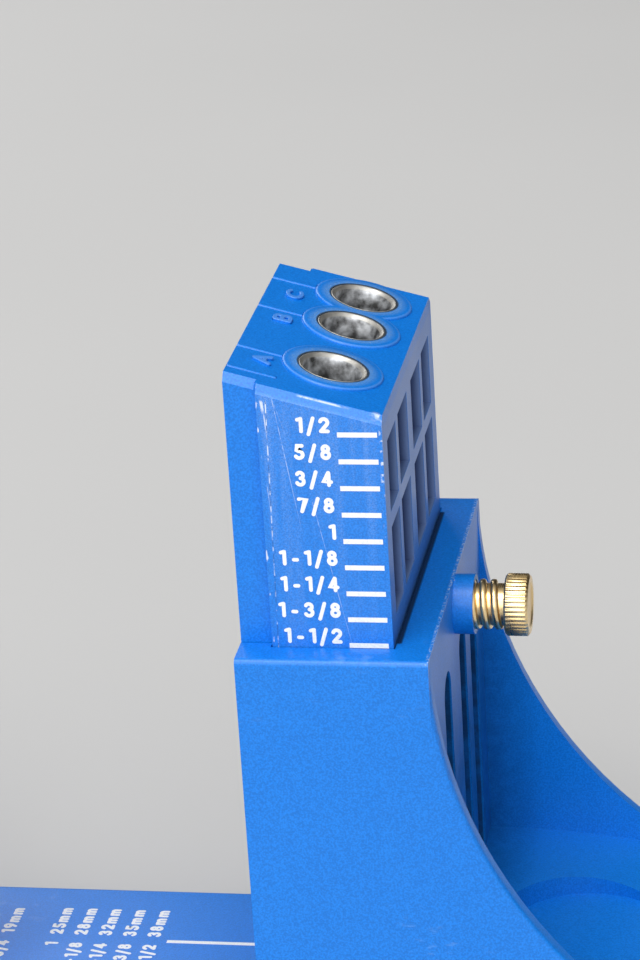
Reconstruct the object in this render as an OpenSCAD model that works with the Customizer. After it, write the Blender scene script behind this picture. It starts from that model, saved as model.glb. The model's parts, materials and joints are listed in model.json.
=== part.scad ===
// Pocket hole jig: a moulded base with a tower, a sliding drill guide and a toggle clamp.
// Frame: x = 0 is the face that the work leans on, +x is the drill side,
// y = 0 is the middle of the jig and z = 0 is the bench. Millimetres.

/* [Base] */
// Width of the base and the tower
base_w = 79; // [76:0.5:90]
// Thickness of the base plate
base_t = 14; // [12:0.5:20]
// Length of the base on the clamp side, from the work face
clamp_end = 168; // [166:1:200]
// Radius of the base's upright corners
base_r = 8; // [5:0.5:12]
// Rounding of the outer top edges
edge_r = 1.2; // [0.6:0.1:1.4]
// Distance of the bench screws from the work face on the clamp side
screw_clamp_x = 76.5; // [70:0.5:78]
// Distance of the bench screws from the work face on the drill side
screw_drill_x = 112; // [100:1:118]
// Distance between the two bench screws of a pair, across the jig
screw_pitch = 56; // [50:1:58]
// Diameter of the bench screw holes
screw_d = 5.5; // [4.5:0.1:6.5]
// Diameter of the counterbore over a bench screw
screw_head_d = 10.5; // [9:0.5:12]
// Material left under a bench screw's head
screw_seat = 9; // [6:0.5:10]
// Rib thickness on the underside
rib_t = 4; // [3:0.5:6]
// Depth of the pockets between the underside ribs
rib_depth = 8; // [5:0.5:9]

/* [Tower] */
// Depth of the tower, work face to drill face
tower_d = 36.4; // [36:0.2:42]
// Height of the tower above the base plate
tower_h = 94; // [94:1:110]
// Thickness of the tower's side walls
side_wall = 5.8; // [4:0.2:7]
// How far each retaining lip reaches over the guide
lip = 1.8; // [1.2:0.1:2.5]
// Thickness of the retaining lips
lip_t = 6; // [4:0.2:7]
// Thickness of the side gussets
gusset_t = 3.5; // [3:0.5:6]
// Width of the chip slots in the drill face
chip_slot_w = 9.5; // [8:0.5:11]
// Distance from the tower's top to the top of the chip slots
chip_slot_drop = 13.2; // [12:0.1:16]
// Height of the chip ramp where it meets the tower
ramp_h = 19.7; // [16:0.1:22]
// Radius of the chip ramp's gentle crown
ramp_r = 206; // [180:1:240]
// Radius of the bench clamp's dish in the ramp
dish_r = 17.3; // [14:0.1:19]
// Distance from the drill face to the dish's centre
dish_x = 23.8; // [22:0.1:24]
// Least depth of the dish, on its low side
dish_depth = 0.8; // [0.5:0.1:1.5]

/* [Drill guide] */
// Depth of the guide, work face to drill face
guide_d = 29.2; // [29:0.1:30]
// Height of the guide at the work face
guide_h = 95.75; // [94:0.25:98]
// How far the guide reaches into the tower at its highest mark
guide_grip = 42; // [40:0.5:44]
// Gap between the guide and the tower's channel
guide_fit = 0.3; // [0.2:0.05:0.5]
// Distance between two thickness marks
mark_pitch = 5.27; // [5:0.01:5.4]
// Angle between the drill holes and the vertical
tilt = 15; // [14:0.5:16]
// Distance from the work face to the hole centres, on the top
hole_x = 17.8; // [17.5:0.1:18.5]
// Distance between holes A and B
pitch_ab = 22.2; // [21:0.1:23]
// Distance between holes B and C
pitch_bc = 15.9; // [15:0.1:17]
// Shift of the hole group from the middle of the guide
hole_shift = 2.75; // [0:0.05:3]
// Radius of the raised ring round each hole
ring_r = 9.65; // [8.5:0.05:9.9]
// Height of the raised rings and lines
ring_h = 0.8; // [0.5:0.1:1.2]
// Width of the raised lines that lead to the rings
line_w = 1; // [0.8:0.1:1.6]
// Length of the short raised line beside the near edge
short_line = 9.6; // [7:0.1:12]
// Distance from the middle to the short raised line
short_line_y = 27; // [26.5:0.1:28]
// Chamfer on the long upper edges of the guide
top_chamfer = 1.5; // [0.8:0.1:2]
// Height of the lower windows' sill above the guide's bottom
window_sill = 46.5; // [44:0.5:48]
// Height of the lower windows
window_low_h = 17.7; // [16:0.1:18.5]
// Height of the upper windows
window_high_h = 14.2; // [12:0.1:14.5]
// Thickness of the bar between the window rows
window_bar = 3; // [2:0.1:3.5]
// Thickness of the thin upright ribs between the windows
window_rib = 2.8; // [2:0.1:5]
// Distance from the middle to the thin upright ribs
window_rib_y = 16.2; // [15.5:0.1:17]
// Width of the upright land that the lock screw bears on
land_w = 5.5; // [5:0.1:9]
// Width of the guide's upright border beside the windows
window_edge = 5.3; // [4:0.1:6]
// Thickness of the guide's front wall behind the work face
front_wall = 4.5; // [3.5:0.1:5.5]
// Distance from the guide's bottom to the chip windows
chip_sill = 8; // [6:0.5:10]
// Height of the chip windows
chip_h = 30; // [26:0.5:32]

/* [Drill bushes] */
// Bore of the steel drill bushes
bore_d = 9.6; // [9.5:0.02:9.8]
// Outside diameter of the drill bushes
bush_d = 13.2; // [13:0.1:14]
// Length of the drill bushes
bush_len = 36; // [32:0.5:36.5]
// Width of the lead-in chamfer at the top of a bush
lead_in = 1.5; // [1:0.1:1.6]
// Gap round a piece that is pressed in
press_gap = 0.03; // [0.02:0.01:0.05]
// Room round the drill below its bush
exit_gap = 0.5; // [0.4:0.1:1]
// Wall of the moulded tube round a bush
tube_wall = 2.4; // [1.5:0.1:2.5]

/* [Lock screw] */
// Diameter of the lock screw's thread
lock_d = 9.6; // [8:0.1:10]
// Running gap round a thread, a pin or a sliding rod
run_gap = 0.06; // [0.03:0.01:0.09]
// Diameter of the boss that the lock screw runs in
boss_d = 11.8; // [11.8:0.1:14]
// How far the boss stands out of the drill face
boss_len = 3.9; // [3:0.1:6]
// Distance from the tower's top to the lock screw
lock_drop = 6; // [6:0.1:6.5]
// Bare thread between the boss and the knurled head
lock_thread = 6; // [4:0.2:8]
// Diameter of the knurled head
knob_d = 12.2; // [11:0.1:14]
// Length of the knurled head
knob_len = 4.7; // [4:0.1:7]
// Number of ridges on the knurled head
knob_ridges = 32; // [24:1:40]
// Depth of the knurl
knurl_depth = 0.45; // [0.3:0.05:0.6]

/* [Clamp] */
// Height of the clamp's push rod above the base plate
rod_h = 42; // [40:0.5:48]
// Height of the block that the clamp is bolted to
block_h = 16; // [12:0.5:17]
// Distance from the work face to the open clamp's pad
pad_open = 64; // [62:0.5:66]
// Diameter of the push rod
rod_d = 16; // [15:0.1:18]
// Length of the push rod's guide
sleeve_len = 20; // [16:0.5:24]
// Distance from the handle's pivot to the crank pin
crank_r = 15; // [14.5:0.1:15.5]
// Distance between the holes of a link
link_len = 25; // [24.5:0.1:26]
// Swing of the handle from open to closed
swing = 95; // [90:1:95]
// Lean of the open handle towards the tower
handle_lean = 10; // [5:1:12]
// Thickness of the pressed steel plates
plate_t = 3; // [2.5:0.1:3.5]
// Gap between plates that pass each other
side_gap = 0.4; // [0.3:0.05:0.5]
// Thickness of the push rod's flat tail
tail_t = 6; // [5:0.2:8]
// Diameter of the handle's pivot
pivot_d = 6; // [5:0.1:7]
// Diameter of the crank pin, the link pin and the rivets
pin_d = 5; // [4:0.1:5.5]
// Room round the link pin in the tail's slot
slot_gap = 0.65; // [0.6:0.05:0.8]
// Length of the handle's lever above its pivot
lever_len = 100; // [90:1:110]
// Width of the handle's lever
lever_w = 16; // [15:0.2:18]
// Length of the handle's grip
grip_len = 74; // [66:1:78]
// Wall of the handle's grip
grip_wall = 3.5; // [3:0.1:5]
// Diameter of the pad's spindle
spindle_d = 10; // [8:0.1:10]
// Travel of the spindle in the push rod
spindle_travel = 30.5; // [26:0.5:31]
// Length of the spindle left in the push rod at full travel
thread_grip = 7; // [6:0.5:7.5]
// Diameter of the clamp pad
pad_d = 27; // [24:0.5:32]
// Thickness of the clamp pad
pad_t = 8; // [7:0.5:12]
// Thickness of the spindle's lock nut
nut_t = 6; // [4:0.5:8]
// Width across the flats of the lock nut
nut_af = 16; // [15:0.5:18]
// Diameter of the bolts that hold the clamp
bolt_d = 5; // [4:0.5:5.5]

/* [Hidden] */
$fn = 64;
e = 0.5;

half_w = base_w / 2;
tower_top = base_t + tower_h;
foot_end = tower_d + tower_h + edge_r;
channel_half = half_w - side_wall;
channel_d = guide_d + guide_fit;
guide_half = channel_half - guide_fit;
guide_z = tower_top - guide_grip;
guide_travel = 8 * mark_pitch;
channel_floor = guide_z - guide_travel - guide_fit;
hole_y = [hole_shift - (pitch_ab + pitch_bc) / 2, hole_shift + (pitch_ab - pitch_bc) / 2,
    hole_shift + (pitch_ab + pitch_bc) / 2];
hole_z = guide_z + guide_h - hole_x * tan(tilt);
lock_z = tower_top - lock_drop;
screw_land = screw_head_d / 2 + rib_t;
function ramp_z(x) = base_t + ramp_h - ramp_r + sqrt(ramp_r * ramp_r - x * x);
dish_z = ramp_z(dish_x + dish_r) - dish_depth;

rod_z = base_t + rod_h;
block_top = base_t + block_h;
pad_back = -pad_open - pad_t;
nut_gap = 2;
rod_front = pad_back - nut_gap - nut_t;
rod_proud = 3;
sleeve_front = rod_front - rod_proud;
sleeve_back = sleeve_front - sleeve_len;
link_eye = pin_d / 2 + 3.5;
link_clear = 0.8;
tail_end = link_eye + 1;
crank_open = -swing;
link_open = asin(crank_r * sin(swing) / link_len);
reach_open = crank_r * cos(swing) + link_len * cos(link_open);
reach_closed = crank_r + link_len;
stroke = reach_closed - reach_open;
pivot_x = sleeve_back - link_clear - link_eye - reach_closed;
slip = [for (i = [0:20]) let (t = i / 20, a = crank_open * (1 - t), b = link_open * (1 - t))
    [crank_r * cos(a) + link_len * cos(b) - reach_open - stroke * t,
     crank_r * sin(a) + link_len * sin(b)]];
slip_end = slip[10];
tail_front = reach_open + slip_end[0] + link_eye + link_clear;
link_y = tail_t / 2 + side_gap;
lever_y = link_y + plate_t + side_gap;
cheek_y = lever_y + plate_t + side_gap;
flange_y = cheek_y + plate_t;
fold_r = 2;
flange_w = 14;
pivot_ear = 10;
stop_ear = 6;
bolt_in = 8;
bracket_back = pivot_x - pivot_ear - 1;
bolt_x = [bracket_back + bolt_in, sleeve_front - bolt_in];
bolt_y = flange_y + flange_w / 2 + 1;
washer_t = 1;
head_t = 3.5;
bolt_af = 1.6 * bolt_d;
bolt_nut_t = 0.8 * bolt_d;
nut_pocket = bolt_nut_t + 2.5;
stop_up = 13;
stop_gap = 0.3;
stop_out = lever_w / 2 + stop_gap + pin_d / 2;
stop_x = pivot_x + stop_up * sin(handle_lean) + stop_out * cos(handle_lean);
stop_z = rod_z + stop_up * cos(handle_lean) - stop_out * sin(handle_lean);
rivet_z = block_top + plate_t + fold_r + pin_d + side_gap;
sleeve_top = rod_z + rod_d / 2 + 4;

plastic_blue = [0.05, 0.22, 0.72];
steel = [0.70, 0.71, 0.73];
dark_steel = [0.45, 0.46, 0.48];
brass = [0.85, 0.66, 0.25];
black = [0.07, 0.07, 0.08];

// A plate with upright round corners, from x0 to x1, centred on y = 0.
module round_plate(x0, x1, w, h, r) {
    linear_extrude(h) union() {
        translate([x0 + r, -w / 2]) square([x1 - x0 - 2 * r, w]);
        translate([x0, -w / 2 + r]) square([x1 - x0, w - 2 * r]);
        for (x = [x0 + r, x1 - r], y = [-w / 2 + r, w / 2 - r]) translate([x, y]) circle(r);
    }
}

// What a rounded edge takes off a straight corner that runs along +x, solid towards -y and -z.
module edge_cut(len, r) {
    difference() {
        translate([0, -r, -r]) cube([len, r + e, r + e]);
        translate([-e, -r, -r]) rotate([0, 90, 0]) cylinder(r = r, h = len + 2 * e);
    }
}

// What a rounded edge takes off the concave curve of a gusset, on its outer side.
module arc_edge_cut(arc_r, r) {
    rotate([90, 0, 0]) rotate([0, 0, 180]) rotate_extrude(angle = 90, $fn = 96) difference() {
        translate([arc_r - e, -e]) square([r + e, r + e]);
        translate([arc_r + r, r]) circle(r);
    }
}

// A hexagon of a given width across its flats, along +z.
module hex_bar(af, h) {
    cylinder(d = af / cos(30), h = h, $fn = 6);
}

// Places its children on the axis of one drill hole, +z out of the hole.
module on_hole(y) {
    translate([hole_x, y, hole_z]) rotate([0, tilt, 0]) children();
}

// Lays its children's xy plane in the upright plane of the clamp, +z towards -y.
module upright() {
    translate([pivot_x, 0, rod_z]) rotate([90, 0, 0]) children();
}

// A round bar across the clamp, through the point x, z of its upright plane.
module cross_bar(x, z, d, half) {
    translate([x, half, z]) rotate([90, 0, 0]) cylinder(d = d, h = 2 * half);
}

// The tower's plain block with the guide's channel cut out of its work side.
module tower() {
    difference() {
        translate([0, -half_w, 0]) cube([tower_d, base_w, tower_top]);
        translate([lip_t, -channel_half, channel_floor])
            cube([channel_d - lip_t, 2 * channel_half, tower_top]);
        translate([-e, -channel_half + lip, channel_floor])
            cube([lip_t + 2 * e, 2 * (channel_half - lip), tower_top]);
        for (s = [0, 1]) mirror([0, s, 0]) translate([-e, half_w, tower_top])
            edge_cut(tower_d + 2 * e, edge_r);
    }
}

// Side view of what lies under the curve from the tower's top to the foot.
module sweep_outline() {
    difference() {
        square([tower_h, tower_h]);
        translate([tower_h, tower_h]) circle(tower_h, $fn = 128);
    }
}

// One gusset, flush with the tower's near side and curved down to the foot.
module gusset() {
    translate([tower_d, -half_w, base_t]) difference() {
        translate([0, gusset_t, 0]) rotate([90, 0, 0]) linear_extrude(gusset_t) sweep_outline();
        translate([tower_h, 0, tower_h]) mirror([0, 1, 0]) arc_edge_cut(tower_h, edge_r);
    }
}

// The crowned floor that chips slide down between the gussets, with a level dish for a bench clamp.
module ramp() {
    difference() {
        translate([tower_d, half_w - gusset_t / 2, base_t]) rotate([90, 0, 0])
            linear_extrude(base_w - gusset_t) intersection() {
                sweep_outline();
                translate([0, ramp_h - ramp_r]) circle(ramp_r, $fn = 256);
            }
        translate([tower_d + dish_x, 0, dish_z]) cylinder(r = dish_r, h = ramp_h);
    }
}

// A grid of pockets between the ribs on the underside, from x0 to x1.
module underside_pockets(x0, x1) {
    cell_n = 3;
    cell_y = (screw_pitch - screw_head_d - 2 * rib_t) / cell_n;
    cell_x = (x1 - x0 - (cell_n - 1) * rib_t) / cell_n;
    for (i = [0:cell_n - 1], j = [0:cell_n - 1])
        translate([x0 + i * (cell_x + rib_t), (j - 1) * (cell_y + rib_t) - cell_y / 2, -e])
            cube([cell_x, cell_y, rib_depth + e]);
}

module jig_base() {
    color(plastic_blue) difference() {
        union() {
            difference() {
                round_plate(-clamp_end, foot_end, base_w, base_t, base_r);
                for (s = [0, 1]) mirror([0, s, 0]) translate([-clamp_end + base_r, half_w, base_t])
                    edge_cut(clamp_end - base_r, edge_r);
            }
            tower();
            gusset();
            mirror([0, 1, 0]) gusset();
            ramp();
            round_plate(bracket_back - 3, sleeve_front + 4, 2 * (flange_y + flange_w + 2), block_top,
                base_r / 2);
            translate([tower_d - e, 0, lock_z]) rotate([0, 90, 0]) cylinder(d = boss_d, h = boss_len + e);
        }
        for (y = hole_y) translate([channel_d - e, y, 0]) {
            translate([0, -chip_slot_w / 2, base_t + ramp_h]) cube([tower_d - channel_d + 2 * e,
                chip_slot_w, tower_h - ramp_h - chip_slot_drop - chip_slot_w / 2]);
            translate([0, 0, tower_top - chip_slot_drop - chip_slot_w / 2]) rotate([0, 90, 0])
                cylinder(d = chip_slot_w, h = tower_d - channel_d + 2 * e);
        }
        translate([channel_d - e, 0, lock_z]) rotate([0, 90, 0])
            cylinder(d = lock_d + 2 * run_gap, h = tower_d - channel_d + boss_len + 2 * e);
        for (x = [-screw_clamp_x, screw_drill_x], y = [-screw_pitch / 2, screw_pitch / 2])
            translate([x, y, -e]) {
                cylinder(d = screw_d, h = tower_h);
                translate([0, 0, screw_seat + e]) cylinder(d = screw_head_d, h = tower_h);
            }
        for (x = bolt_x, y = [-bolt_y, bolt_y]) translate([x, y, -e]) {
            cylinder(d = bolt_d + 4 * run_gap, h = block_top + 2 * e);
            hex_bar(bolt_af + 4 * run_gap, nut_pocket + e);
        }
        underside_pockets(bolt_x[0] + bolt_af, bolt_x[1] - bolt_af);
        underside_pockets(-screw_clamp_x + screw_land, -rib_t);
        underside_pockets(rib_t, screw_drill_x - screw_land);
    }
}

// Section of the guide: a block with a narrower front that fills the gap between the lips.
module guide_section() {
    translate([0, -guide_half + lip]) square([guide_d, 2 * (guide_half - lip)]);
    translate([lip_t + guide_fit, -guide_half])
        square([guide_d - lip_t - guide_fit, 2 * guide_half]);
}

// Places its children on the guide's sloping top, x down the slope from the work face.
module on_top() {
    translate([0, 0, guide_z + guide_h]) rotate([0, tilt, 0]) children();
}

// What the chamfers take off the upper edges at both sides of the guide, from x0 to x1 along the slope.
module chamfer_cut(x0, x1, side) {
    for (s = [-1, 1]) translate([x0, s * side, 0]) rotate([-45 * s, 0, 0])
        translate([0, -2 * top_chamfer, -top_chamfer / sqrt(2)])
            cube([x1 - x0, 4 * top_chamfer, 4 * top_chamfer]);
}

// The guide's block with its sloping top.
module guide_block() {
    step = (lip_t + guide_fit) / cos(tilt);
    difference() {
        translate([0, 0, guide_z]) linear_extrude(guide_h) guide_section();
        on_top() {
            translate([-guide_d, -base_w, 0]) cube([3 * guide_d, 2 * base_w, guide_h]);
            chamfer_cut(-guide_d, step - guide_fit, guide_half - lip);
            chamfer_cut(step - lip, 2 * guide_d, guide_half);
        }
    }
}

// The two rows of windows in the guide's drill face, cored back to the front wall.
module guide_windows() {
    ys = [-guide_half + window_edge, -window_rib_y - window_rib / 2, -window_rib_y + window_rib / 2,
        -land_w / 2, land_w / 2, window_rib_y - window_rib / 2, window_rib_y + window_rib / 2,
        guide_half - window_edge];
    rows = [[window_sill, window_low_h], [window_sill + window_low_h + window_bar, window_high_h]];
    for (row = rows, i = [0:2:6])
        translate([front_wall, ys[i], guide_z + row[0]]) cube([guide_d, ys[i + 1] - ys[i], row[1]]);
}

module drill_guide() {
    color(plastic_blue) difference() {
        union() {
            difference() {
                guide_block();
                guide_windows();
            }
            intersection() {
                guide_block();
                union() for (y = hole_y) on_hole(y) translate([0, 0, -guide_h])
                    cylinder(d = bush_d + 2 * tube_wall, h = guide_h + ring_h);
            }
            for (y = hole_y) on_hole(y) translate([0, 0, -ring_h]) cylinder(r = ring_r, h = 2 * ring_h);
            for (y = hole_y) on_hole(y) translate([-hole_x / cos(tilt), -line_w / 2, -ring_h])
                cube([hole_x / cos(tilt), line_w, 1.5 * ring_h]);
            on_top() translate([0, -short_line_y - line_w / 2, -ring_h])
                cube([short_line, line_w, 1.5 * ring_h]);
        }
        for (y = hole_y) on_hole(y) {
            translate([0, 0, -2 * guide_h]) cylinder(d = bore_d + 2 * exit_gap, h = 3 * guide_h);
            translate([0, 0, -bush_len]) cylinder(d = bush_d + 2 * press_gap, h = guide_h);
        }
        for (y = hole_y) translate([front_wall, y - chip_slot_w / 2, guide_z + chip_sill])
            cube([guide_d, chip_slot_w, chip_h]);
    }
}

// A steel bush whose top lies level with its ring.
module drill_bush(y) {
    color(steel) on_hole(y) difference() {
        translate([0, 0, -bush_len]) cylinder(d = bush_d, h = bush_len + ring_h);
        translate([0, 0, -bush_len - e]) cylinder(d = bore_d, h = bush_len + ring_h + 2 * e);
        translate([0, 0, ring_h - lead_in]) cylinder(d1 = bore_d, d2 = bore_d + 4 * lead_in,
            h = 2 * lead_in);
    }
}

module drill_bush_a() drill_bush(hole_y[0]);
module drill_bush_b() drill_bush(hole_y[1]);
module drill_bush_c() drill_bush(hole_y[2]);

// Outline of a straight knurl: one point on each ridge and one in each groove.
module knurl(d, ridges, depth) {
    polygon([for (i = [0:2 * ridges - 1]) let (r = d / 2 - (i % 2) * depth, a = 180 * i / ridges)
        [r * cos(a), r * sin(a)]]);
}

module lock_screw() {
    tip = channel_d;
    head = tower_d + boss_len + lock_thread;
    color(brass) translate([0, 0, lock_z]) rotate([0, 90, 0]) {
        translate([0, 0, tip]) cylinder(d = lock_d, h = head - tip);
        translate([0, 0, head]) linear_extrude(knob_len) knurl(knob_d, knob_ridges, knurl_depth);
    }
}

// Section of one bracket: a flange on the block, folded up into a cheek.
module fold_section(h) {
    bend = plate_t + fold_r;
    difference() {
        translate([cheek_y, 0]) union() {
            square([plate_t + flange_w, plate_t]);
            square([plate_t, h]);
            square([bend, bend]);
        }
        translate([cheek_y + bend, bend]) circle(fold_r);
        difference() {
            translate([cheek_y - e, -e]) square([bend + e, bend + e]);
            translate([cheek_y + bend, bend]) circle(bend);
        }
    }
}

// Side view of a cheek: an ear for the pivot and the stop, and a nose that holds the rod guide.
module cheek_outline() {
    hull() {
        translate([pivot_x, rod_z]) circle(pivot_ear, $fn = 32);
        translate([stop_x, stop_z]) circle(stop_ear, $fn = 32);
        translate([pivot_x - pivot_ear, block_top]) square([stop_x - pivot_x + pivot_ear + stop_ear, 1]);
    }
    translate([pivot_x, block_top]) square([sleeve_front - pivot_x, sleeve_top - block_top - 3]);
}

module bracket_far() {
    cheek_h = stop_z + stop_ear + fold_r - block_top;
    color(steel) difference() {
        intersection() {
            translate([bracket_back, 0, block_top]) rotate([90, 0, 90])
                linear_extrude(sleeve_front - bracket_back) fold_section(cheek_h);
            union() {
                translate([0, flange_y + flange_w, 0]) rotate([90, 0, 0])
                    linear_extrude(flange_w + 2 * plate_t) cheek_outline();
                translate([bracket_back, 0, block_top])
                    cube([sleeve_front - bracket_back, half_w, plate_t + fold_r]);
            }
        }
        cross_bar(pivot_x, rod_z, pivot_d + 2 * press_gap, half_w);
        cross_bar(stop_x, stop_z, pin_d + 2 * press_gap, half_w);
        for (x = [sleeve_back + sleeve_len / 4, sleeve_front - sleeve_len / 4])
            cross_bar(x, rivet_z, pin_d + 2 * press_gap, half_w);
        for (x = bolt_x) translate([x, bolt_y, block_top - e])
            cylinder(d = bolt_d + 4 * run_gap, h = plate_t + 2 * e);
    }
}

module bracket_near() mirror([0, 1, 0]) bracket_far();

// Section of the rod guide: a block with two rounded top corners.
module rod_guide_section() {
    top_r = 4;
    translate([-cheek_y, block_top]) square([2 * cheek_y, sleeve_top - top_r - block_top]);
    translate([-cheek_y + top_r, block_top]) square([2 * (cheek_y - top_r), sleeve_top - block_top]);
    for (s = [-1, 1]) translate([s * (cheek_y - top_r), sleeve_top - top_r]) circle(top_r);
}

// The block between the cheeks that the push rod slides in.
module rod_guide() {
    color(dark_steel) difference() {
        translate([sleeve_back, 0, 0]) rotate([90, 0, 90]) linear_extrude(sleeve_len) rod_guide_section();
        translate([sleeve_back - e, 0, rod_z]) rotate([0, 90, 0])
            cylinder(d = rod_d + 2 * run_gap, h = sleeve_len + 2 * e);
        for (x = [sleeve_back + sleeve_len / 4, sleeve_front - sleeve_len / 4])
            cross_bar(x, rivet_z, pin_d + 2 * press_gap, half_w);
    }
}

// A rivet across both cheeks with a low round head on each side.
module cross_rivet(x, z, d) {
    head_h = 2;
    cross_bar(x, z, d, flange_y + e);
    for (s = [0, 1]) mirror([0, s, 0]) translate([x, flange_y, z]) rotate([-90, 0, 0])
        cylinder(d1 = 1.8 * d, d2 = 1.3 * d, h = head_h);
}

module guide_rivets() {
    color(dark_steel) for (x = [sleeve_back + sleeve_len / 4, sleeve_front - sleeve_len / 4])
        cross_rivet(x, rivet_z, pin_d);
}

module handle_pivot() color(dark_steel) cross_rivet(pivot_x, rod_z, pivot_d);
module stop_rivet() color(dark_steel) cross_rivet(stop_x, stop_z, pin_d);

// Places its children at each of the clamp's four bolts.
module at_bolts(z) {
    for (x = bolt_x, y = [-bolt_y, bolt_y]) translate([x, y, z]) children();
}

module bracket_washers() {
    color(steel) at_bolts(block_top + plate_t) difference() {
        cylinder(d = 2 * bolt_d, h = washer_t);
        translate([0, 0, -e]) cylinder(d = bolt_d + 4 * run_gap, h = washer_t + 2 * e);
    }
}

module bracket_bolts() {
    seat = block_top + plate_t + washer_t;
    foot = nut_pocket - bolt_nut_t - 1;
    color(dark_steel) at_bolts(0) {
        translate([0, 0, seat]) hex_bar(bolt_af, head_t);
        translate([0, 0, foot]) cylinder(d = bolt_d, h = seat - foot + e);
    }
}

module bracket_nuts() {
    color(steel) at_bolts(nut_pocket - bolt_nut_t) difference() {
        hex_bar(bolt_af, bolt_nut_t);
        translate([0, 0, -e]) cylinder(d = bolt_d + 2 * press_gap, h = bolt_nut_t + 2 * e);
    }
}

// Places its children on the handle: origin at the pivot, +z along the lever.
module on_handle() {
    translate([pivot_x, 0, rod_z]) rotate([0, handle_lean, 0]) children();
}

// Where the crank pin sits on the handle, seen from its near side.
crank_at = [crank_r * cos(crank_open + handle_lean), crank_r * sin(crank_open + handle_lean)];

// Side view of the lever: the pivot eye, the crank eye and the straight arm.
module lever_outline() {
    hull() {
        circle(lever_w / 2, $fn = 32);
        translate(crank_at) circle(link_eye - 0.5, $fn = 32);
    }
    translate([-lever_w / 2, 0]) square([lever_w, lever_len]);
}

module handle_lever() {
    web_z = lever_w + 6;
    color(steel) on_handle() difference() {
        union() {
            for (y = [-lever_y, lever_y + plate_t]) translate([0, y, 0]) rotate([90, 0, 0])
                linear_extrude(plate_t) lever_outline();
            translate([lever_w / 2 - plate_t, -lever_y - e, web_z])
                cube([plate_t, 2 * (lever_y + e), lever_len - web_z]);
        }
        translate([0, half_w, 0]) rotate([90, 0, 0]) cylinder(d = pivot_d + 2 * run_gap, h = base_w);
        translate([crank_at[0], half_w, crank_at[1]]) rotate([90, 0, 0])
            cylinder(d = pin_d + 2 * press_gap, h = base_w);
    }
}

// The moulded grip: a flattened sleeve over the lever with a round end.
module handle_grip() {
    grip_y = 2 * (lever_y + plate_t + grip_wall);
    grip_x = lever_w + 2 * grip_wall;
    start = lever_len - grip_len;
    side_r = 5;
    end_in = 1.5;
    color(black) on_handle() difference() {
        hull() {
            for (x = [-1, 1], y = [-1, 1]) {
                translate([x * (grip_x / 2 - side_r), y * (grip_y / 2 - side_r), start])
                    cylinder(r = side_r, h = grip_len + grip_wall - side_r, $fn = 32);
                translate([x * (grip_x / 2 - side_r - end_in), y * (grip_y / 2 - side_r - end_in),
                    lever_len + grip_wall - side_r]) sphere(side_r, $fn = 32);
            }
        }
        translate([-lever_w / 2 - press_gap, -lever_y - plate_t - press_gap, start - e])
            cube([lever_w + 2 * press_gap, 2 * (lever_y + plate_t + press_gap), grip_len + e + press_gap]);
    }
}

module crank_pin() {
    color(dark_steel) on_handle() translate([crank_at[0], lever_y + plate_t, crank_at[1]])
        rotate([90, 0, 0]) cylinder(d = pin_d, h = 2 * (lever_y + plate_t));
}

crank_x = pivot_x + crank_r * cos(crank_open);
crank_z = rod_z + crank_r * sin(crank_open);
link_pin_x = pivot_x + reach_open;

module link_far() {
    color(steel) difference() {
        translate([0, link_y + plate_t, 0]) rotate([90, 0, 0]) linear_extrude(plate_t) hull() {
            translate([crank_x, crank_z]) circle(link_eye, $fn = 32);
            translate([link_pin_x, rod_z]) circle(link_eye, $fn = 32);
        }
        cross_bar(crank_x, crank_z, pin_d + 2 * run_gap, half_w);
        cross_bar(link_pin_x, rod_z, pin_d + 2 * press_gap, half_w);
    }
}

module link_near() mirror([0, 1, 0]) link_far();

module link_pin() color(dark_steel) cross_bar(link_pin_x, rod_z, pin_d, link_y + plate_t);

// The push rod: a round bar with a tail milled flat, whose slot lets the link's pin slip.
module push_rod() {
    slot_d = pin_d + 2 * slot_gap;
    tail_x = pivot_x + reach_open - tail_end;
    round_x = pivot_x + tail_front;
    color(steel) difference() {
        union() {
            translate([round_x, 0, rod_z]) rotate([0, 90, 0]) cylinder(d = rod_d, h = rod_front - round_x);
            intersection() {
                translate([tail_x, 0, rod_z]) rotate([0, 90, 0])
                    cylinder(d = rod_d - 2 * run_gap, h = round_x - tail_x + e);
                translate([tail_x, -tail_t / 2, rod_z - rod_d]) cube([rod_front - tail_x, tail_t, 2 * rod_d]);
            }
        }
        translate([rod_front - spindle_travel - thread_grip - e, 0, rod_z]) rotate([0, 90, 0])
            cylinder(d = spindle_d + 2 * run_gap, h = spindle_travel + thread_grip + 2 * e);
        translate([link_pin_x, 0, rod_z]) rotate([90, 0, 0]) {
            for (p = [[0, 0], slip_end]) translate([p[0], p[1], -half_w]) cylinder(d = slot_d, h = base_w);
            rotate([0, 0, atan2(slip_end[1], slip_end[0])]) translate([0, -slot_d / 2, -half_w])
                cube([norm(slip_end), slot_d, base_w]);
        }
    }
}

module lock_nut() {
    color(dark_steel) translate([rod_front, 0, rod_z]) rotate([0, 90, 0]) difference() {
        hex_bar(nut_af, nut_t);
        translate([0, 0, -e]) cylinder(d = spindle_d + 2 * run_gap, h = nut_t + 2 * e);
    }
}

flange_t = 2.5;
flange_d = 18;

module pad_spindle() {
    root = rod_front - spindle_travel - thread_grip;
    color(steel) translate([0, 0, rod_z]) rotate([0, 90, 0]) {
        translate([0, 0, root]) cylinder(d = spindle_d, h = pad_back - root + e);
        translate([0, 0, pad_back]) cylinder(d = flange_d, h = flange_t);
    }
}

module clamp_pad() {
    rim = 1.5;
    color(black) translate([pad_back, 0, rod_z]) rotate([0, 90, 0]) difference() {
        union() {
            cylinder(d = pad_d, h = pad_t - rim);
            translate([0, 0, pad_t - rim]) cylinder(d1 = pad_d, d2 = pad_d - 2 * rim, h = rim);
        }
        translate([0, 0, -e]) cylinder(d = flange_d + 2 * press_gap, h = flange_t + e);
    }
}

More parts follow.
